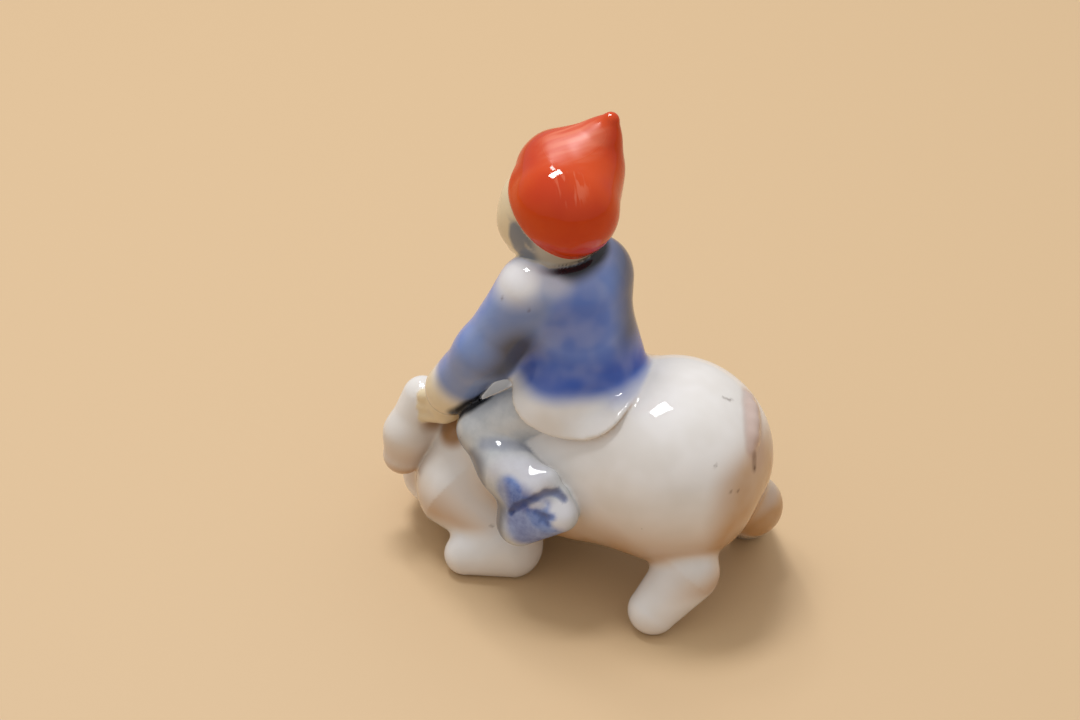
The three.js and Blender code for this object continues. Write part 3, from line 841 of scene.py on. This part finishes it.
solid_low, solid_high = (np.array(corner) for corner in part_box("elf_on_pig"))
shift = (solid_low + solid_high) / 2 / MM - (points.min(0) + points.max(0)) / 2
shift[2] = 0
figurine = make_piece("glazed_figurine", (points + shift) * MM, quads)
for label, values in ATTRIBUTES.items():
    layer = figurine.data.attributes.new(label, "FLOAT", "POINT")
    layer.data.foreach_set("value", np.asarray(values, np.float32))

# Colours of the paints and of the floor, as red, green and blue from 0 to 255
PAINTS = {
    "glaze": (226, 221, 216),
    "glaze_pale": (233, 229, 226),
    # Warm painted shade and floor reflection
    "warm_shade_and_reflection": (184, 138, 86),
    "pink": (182, 148, 132),
    "grey": (192, 196, 200),
    "grey_pale": (208, 210, 212),
    "blue_pale": (152, 178, 232),
    "blue": (52, 86, 176),
    "shade": (88, 90, 104),
    "shoe": (78, 104, 178),
    "shoe_pale": (134, 158, 214),
    "heel": (224, 226, 234),
    # Dark blue for the painted lines and for the painted shade in the knee's fold
    "line": (52, 68, 124),
    "skin": (224, 206, 172),
    # Painted shade on the nape's skin
    "nape_shade": (188, 180, 166),
    "hair": (124, 128, 136),
    # Near black, for the painted shadows
    "painted_shadow": (24, 24, 30),
    "rose": (206, 122, 104),
    "ink": (40, 36, 38),
    "red": (200, 56, 0),
    "red_pale": (210, 70, 2),
    # Pale streaks on the cap, partly a painted sheen
    "streak_sheen": (220, 108, 74),
    # Dark marks, also used as painted shade
    "marks_and_shade": (84, 56, 40),
    "pinhole": (92, 66, 50),
    "floor": (206, 174, 132),
}

# Noises: the size of their grain in millimetres and their detail and roughness
NOISES = {
    "cloud": (5.0, 2, 0.55),
    "mottle": (1.6, 4, 0.6),
    "grain": (0.35, 2, 0.55),
    "wear": (2.6, 1, 0.55),
    "ripple": (1.8, 2, 0.55),
    "region": (6.0, 1, 0.55),
}

# Brush strokes on the cap, pale streaks that are partly brush-work and partly a painted sheen of reflected
# light: their width in millimetres and the way they run
BRUSHES = {
    "streaks_and_sheen": (0.7, (3.6, 3.8, 1.1)),
    "strokes_and_glints": (0.38, (1.65, -1.8, -2.2)),
}
BRUSH_REACH = 8.0
BRUSH_DETAIL = 1.0

# How one value drives another: from low and high, to low and high
LEVELS = {
    "glaze": (0.35, 0.65, 0, 1),
    "warm_shade_and_reflection": (0.2, 0.8, 0.7, 1),
    "mottle": (0.3, 0.7, 0, 1),
    "wear": (0.3, 0.7, 0.86, 1),
    "streaks_and_sheen": (0.35, 0.65, 0.3, 1),
    "strokes_and_glints": (0.5, 0.62, 0, 0.6),
    "reds": (0.3, 0.7, 0, 1),
    "cap": (0.3, 0.7, 0, 1),
    "pinhole": (0.03, 0.06, 1, 0),
    "region": (0.58, 0.6, 0, 1),
    "roughness": (0.3, 0.7, 0.16, 0.26),
    "coat_roughness": (0.1, 0.8, 0.03, 0.42),
}
PINHOLES = {"apart": 2.0, "strength": 0.5}
RIPPLES = {"strength": 0.12, "depth": 0.05}
PORCELAIN_IOR = 1.5
GLAZE_IOR = 1.42


# Materials
def paint(name):
    parts = [c / 255 for c in PAINTS[name]]
    linear = [c / 12.92 if c <= 0.04045 else ((c + 0.055) / 1.055) ** 2.4 for c in parts]
    return (*linear, 1)


class Nodes:
    def __init__(self, name):
        self.material = bpy.data.materials.new(name)
        self.material.use_nodes = True
        self.tree = self.material.node_tree
        self.tree.nodes.clear()
        self.output = self.add("ShaderNodeOutputMaterial")
        self.shader = self.add("ShaderNodeBsdfPrincipled")
        self.join(self.shader.outputs["BSDF"], self.output.inputs["Surface"])
        self.where = self.add("ShaderNodeTexCoord").outputs["Object"]

    def add(self, kind, **settings):
        node = self.tree.nodes.new(kind)
        for key, value in settings.items():
            setattr(node, key, value)
        return node

    def join(self, source, target):
        self.tree.links.new(source, target)

    def feed(self, socket, value):
        if isinstance(value, bpy.types.NodeSocket):
            self.join(value, socket)
        else:
            socket.default_value = value

    def layer(self, name):
        return self.add("ShaderNodeAttribute", attribute_name=name, attribute_type="GEOMETRY").outputs["Fac"]

    def in_units_of(self, size):
        node = self.add("ShaderNodeMapping")
        node.inputs["Scale"].default_value = [1 / size / MM] * 3
        self.join(self.where, node.inputs["Vector"])
        return node.outputs["Vector"]

    def noise_on(self, vector, size, detail, roughness=0.5):
        node = self.add("ShaderNodeTexNoise")
        self.join(vector, node.inputs["Vector"])
        node.inputs["Scale"].default_value = 1 / size
        node.inputs["Detail"].default_value = detail
        node.inputs["Roughness"].default_value = roughness
        return node.outputs["Fac"]

    def noise(self, name):
        return self.noise_on(self.in_units_of(1), *NOISES[name])

    def brushed(self, name):
        width, way = BRUSHES[name]
        run = Vector(way).normalized()
        across = run.orthogonal().normalized()
        parts = self.add("ShaderNodeCombineXYZ")
        for socket, axis in zip(parts.inputs, (run / BRUSH_REACH, across, run.cross(across))):
            dot = self.add("ShaderNodeVectorMath", operation="DOT_PRODUCT")
            self.join(self.where, dot.inputs[0])
            dot.inputs[1].default_value = axis / MM
            self.join(dot.outputs["Value"], socket)
        strands = self.level(self.noise_on(parts.outputs[0], width, BRUSH_DETAIL), name)
        return self.math("MULTIPLY", self.layer(name), strands)

    def math(self, operation, a, b):
        node = self.add("ShaderNodeMath", operation=operation, use_clamp=True)
        self.feed(node.inputs[0], a)
        self.feed(node.inputs[1], b)
        return node.outputs[0]

    def level(self, value, name):
        node = self.add("ShaderNodeMapRange", interpolation_type="SMOOTHSTEP")
        self.feed(node.inputs["Value"], value)
        for socket, limit in zip(("From Min", "From Max", "To Min", "To Max"), LEVELS[name]):
            node.inputs[socket].default_value = limit
        return node.outputs["Result"]

    def mix(self, share, a, b):
        node = self.add("ShaderNodeMix", data_type="RGBA")
        self.feed(node.inputs["Factor"], share)
        self.feed(node.inputs[6], a)
        self.feed(node.inputs[7], b)
        return node.outputs[2]

    def coats(self, colour, *names):
        for name in names:
            colour = self.mix(self.layer(name), colour, paint(name))
        return colour


def painted(n):
    cloud = n.noise("cloud")
    mottled = n.level(n.noise("mottle"), "mottle")
    glaze = n.mix(n.level(cloud, "glaze"), paint("glaze"), paint("glaze_pale"))
    # Warm painted shade and floor reflection, broken up by the cloud
    warm_shaded = n.math("MULTIPLY", n.layer("warm_shade_and_reflection"), n.level(cloud, "warm_shade_and_reflection"))
    colour = n.coats(n.mix(warm_shaded, glaze, paint("warm_shade_and_reflection")), "pink")
    colour = n.mix(n.layer("grey"), colour, n.mix(mottled, paint("grey"), paint("grey_pale")))
    worn = n.math("MULTIPLY", n.layer("blue"), n.level(n.noise("wear"), "wear"))
    colour = n.mix(worn, colour, n.mix(n.layer("deep"), paint("blue_pale"), paint("blue")))
    colour = n.coats(colour, "shade")
    colour = n.mix(n.layer("shoe_blue"), colour, n.mix(mottled, paint("shoe"), paint("shoe_pale")))
    colour = n.coats(colour, "heel", "line", "skin", "nape_shade", "hair", "painted_shadow", "rose", "ink")
    reds = n.mix(n.level(cloud, "reds"), paint("red"), paint("red_pale"))
    # Pale brush streaks on the cap, partly a painted sheen of reflected light
    reds = n.mix(n.math("MAXIMUM", n.brushed("streaks_and_sheen"), n.brushed("strokes_and_glints")), reds, paint("streak_sheen"))
    colour = n.mix(n.level(n.layer("cap"), "cap"), colour, reds)
    return n.coats(colour, "marks_and_shade")


def pinholed(n, colour):
    cells = n.add("ShaderNodeTexVoronoi")
    n.join(n.in_units_of(PINHOLES["apart"]), cells.inputs["Vector"])
    cells.inputs["Scale"].default_value = 1
    pinhole = n.level(cells.outputs["Distance"], "pinhole")
    here = n.math("MULTIPLY", pinhole, n.level(n.noise("region"), "region"))
    return n.mix(n.math("MULTIPLY", here, PINHOLES["strength"]), colour, paint("pinhole"))


def porcelain():
    n = Nodes("glazed porcelain")
    n.join(pinholed(n, painted(n)), n.shader.inputs["Base Color"])
    n.join(n.level(n.noise("grain"), "roughness"), n.shader.inputs["Roughness"])
    n.shader.inputs["IOR"].default_value = PORCELAIN_IOR
    n.shader.inputs["Specular IOR Level"].default_value = 0.0
    n.shader.inputs["Coat Weight"].default_value = 1.0
    n.join(n.level(n.layer("streaks_and_sheen"), "coat_roughness"), n.shader.inputs["Coat Roughness"])
    n.shader.inputs["Coat IOR"].default_value = GLAZE_IOR
    bump = n.add("ShaderNodeBump")
    bump.inputs["Strength"].default_value = RIPPLES["strength"]
    bump.inputs["Distance"].default_value = RIPPLES["depth"] * MM
    n.join(n.noise("ripple"), bump.inputs["Height"])
    n.join(bump.outputs["Normal"], n.shader.inputs["Normal"])
    n.join(bump.outputs["Normal"], n.shader.inputs["Coat Normal"])
    return n.material


figurine.data.materials.append(porcelain())
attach(figurine, "root")
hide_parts("elf_on_pig")


# The studio: a plain floor, a sky, the windows and the camera
def lay_floor():
    mesh = bpy.data.meshes.new("floor")
    h = FLOOR_HALF
    mesh.from_pydata([(-h, -h, 0), (h, -h, 0), (h, h, 0), (-h, h, 0)], [], [(0, 1, 2, 3)])
    matt = Nodes("studio floor")
    matt.shader.inputs["Base Color"].default_value = paint("floor")
    matt.shader.inputs["Roughness"].default_value = FLOOR_ROUGHNESS
    mesh.materials.append(matt.material)
    plane = bpy.data.objects.new("floor", mesh)
    bpy.context.scene.collection.objects.link(plane)
    return plane


def light_sky():
    world = bpy.data.worlds.new("studio")
    bpy.context.scene.world = world
    world.use_nodes = True
    tree = world.node_tree
    background = tree.nodes["Background"]
    background.inputs["Strength"].default_value = 1.0
    towards = tree.nodes.new("ShaderNodeTexCoord")
    parts = tree.nodes.new("ShaderNodeSeparateXYZ")
    tree.links.new(towards.outputs["Generated"], parts.inputs[0])
    height = tree.nodes.new("ShaderNodeMapRange")
    height.inputs["From Min"].default_value = SKY["starts"]
    height.inputs["From Max"].default_value = SKY["ends"]
    height.inputs["To Min"].default_value = SKY["low"]
    height.inputs["To Max"].default_value = SKY["high"]
    tree.links.new(parts.outputs["Z"], height.inputs["Value"])
    tree.links.new(height.outputs["Result"], background.inputs["Color"])


def direction(azimuth, elevation):
    a, e = math.radians(azimuth), math.radians(elevation)
    return Vector((math.sin(a) * math.cos(e), -math.cos(a) * math.cos(e), math.sin(e)))


def stand(name, data, towards, away, target):
    thing = bpy.data.objects.new(name, data)
    thing.location = target + towards * away
    thing.rotation_euler = (target - thing.location).to_track_quat("-Z", "Y").to_euler()
    bpy.context.scene.collection.objects.link(thing)
    return thing


def hang_window(name, settings, target):
    data = bpy.data.lights.new(name, "AREA")
    data.shape = "RECTANGLE"
    data.size, data.size_y = settings["size"]
    data.energy = settings["watts"]
    data.color = WINDOW_TINT
    lamp = stand(name, data, direction(*settings["turn"]), settings["away"], target)
    lamp.visible_diffuse = settings["lights"]


def stand_camera(target):
    data = bpy.data.cameras.new("camera")
    data.sensor_width = SENSOR
    data.lens = FOCAL_PX / FRAME_PX * SENSOR
    data.clip_start = CLIP_START
    towards = direction(CAMERA["azimuth"], CAMERA["elevation"])
    return stand("camera", data, towards, CAMERA["distance"] * MM, target)


floor = lay_floor()
floor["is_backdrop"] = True
light_sky()
bpy.context.scene.view_settings.view_transform = "Standard"
target = Vector(np.array(CAMERA["target"]) + shift) * MM
for name, settings in WINDOWS.items():
    hang_window(name, settings, target)
bpy.context.scene.camera = stand_camera(target)

boxes = {"cad": cad_box, "visual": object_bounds()}
plain = {name: [[float(c) for c in corner] for corner in box] for name, box in boxes.items()}
